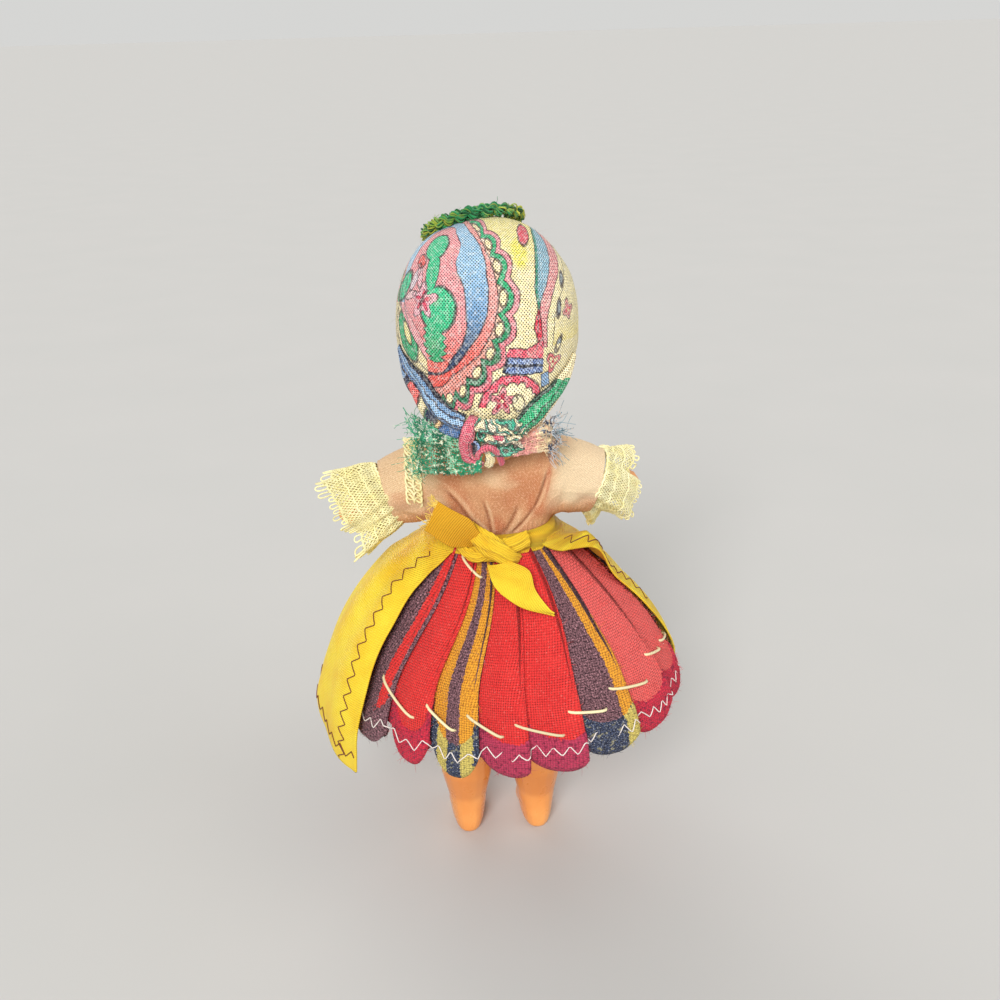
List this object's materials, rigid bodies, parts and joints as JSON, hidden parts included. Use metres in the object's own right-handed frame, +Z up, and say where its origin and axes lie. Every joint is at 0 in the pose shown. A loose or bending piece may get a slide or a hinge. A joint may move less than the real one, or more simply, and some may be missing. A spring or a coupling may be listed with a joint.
{
  "type": "costume doll",
  "caption": "Small strung doll with turning head, arms and legs, in a kerchief with a plaited ring, a lace-cuffed blouse, a pleated skirt and a ribbon apron.",
  "frame": {"origin": "centre of the bounding box on the level the soles stand on", "axes": "+Z up along the doll, -Y the way the face and toes point, +X the doll's own left side"},
  "size_m": [0.0948, 0.0872, 0.165],
  "materials": {
    "skin_plastic": "moulded, glossy",
    "steel_wire": "bent wire and stamped washers",
    "elastic_cord": "braided cord",
    "blouse_cotton": "fine twill, creased",
    "lace": "machine lace with looped edge",
    "skirt_wool": "napped wool, knife pleats",
    "apron_ribbon": "ribbed ribbon",
    "kerchief_cotton": "printed plain weave, frayed edges",
    "ring_yarn": "plaited wool"
  },
  "bodies": {
    "torso": {"torso": "skin_plastic", "neck_hook": "steel_wire", "arm_elastic": "elastic_cord", "leg_elastic": "elastic_cord", "blouse_bodice": "blouse_cotton", "skirt": "skirt_wool", "apron_panel": "apron_ribbon", "apron_waistband": "apron_ribbon", "apron_knot": "apron_ribbon", "apron_tail_upper": "apron_ribbon", "apron_tail_lower": "apron_ribbon"},
    "head": {"head": "skin_plastic", "kerchief_crown": "kerchief_cotton", "kerchief_fold_left": "kerchief_cotton", "kerchief_fold_right": "kerchief_cotton", "kerchief_knot": "kerchief_cotton", "kerchief_end_left": "kerchief_cotton", "kerchief_end_right": "kerchief_cotton", "head_ring": "ring_yarn"},
    "arm_left": {"arm_left": "skin_plastic", "sleeve_left": "blouse_cotton", "lace_cuff_left": "lace", "shoulder_lace": "lace", "arm_washer_left": "steel_wire"},
    "arm_right": {"arm_right": "skin_plastic", "sleeve_right": "blouse_cotton", "lace_cuff_right": "lace", "arm_washer_right": "steel_wire"},
    "leg_left": {"leg_left": "skin_plastic", "leg_washer_left": "steel_wire"},
    "leg_right": {"leg_right": "skin_plastic", "leg_washer_right": "steel_wire"}
  },
  "joints": [
    {"name": "neck_swivel", "type": "hinge", "parent": "torso", "child": "head", "pos_m": [0, 0, 0.11], "axis": [0, 0, 1], "range_deg": [-25, 40]},
    {"name": "shoulder_left", "type": "hinge", "parent": "torso", "child": "arm_left", "pos_m": [0.0147, 0, 0.1005], "axis": [1, 0, 0], "range_deg": [-60, 45]},
    {"name": "shoulder_right", "type": "hinge", "parent": "torso", "child": "arm_right", "pos_m": [-0.0147, 0, 0.1005], "axis": [1, 0, 0], "range_deg": [-60, 45]},
    {"name": "hip_left", "type": "hinge", "parent": "torso", "child": "leg_left", "pos_m": [0.0104, 0, 0.066], "axis": [1, 0, 0], "range_deg": [-40, 40]},
    {"name": "hip_right", "type": "hinge", "parent": "torso", "child": "leg_right", "pos_m": [-0.0104, 0, 0.066], "axis": [1, 0, 0], "range_deg": [-40, 40]}
  ]
}
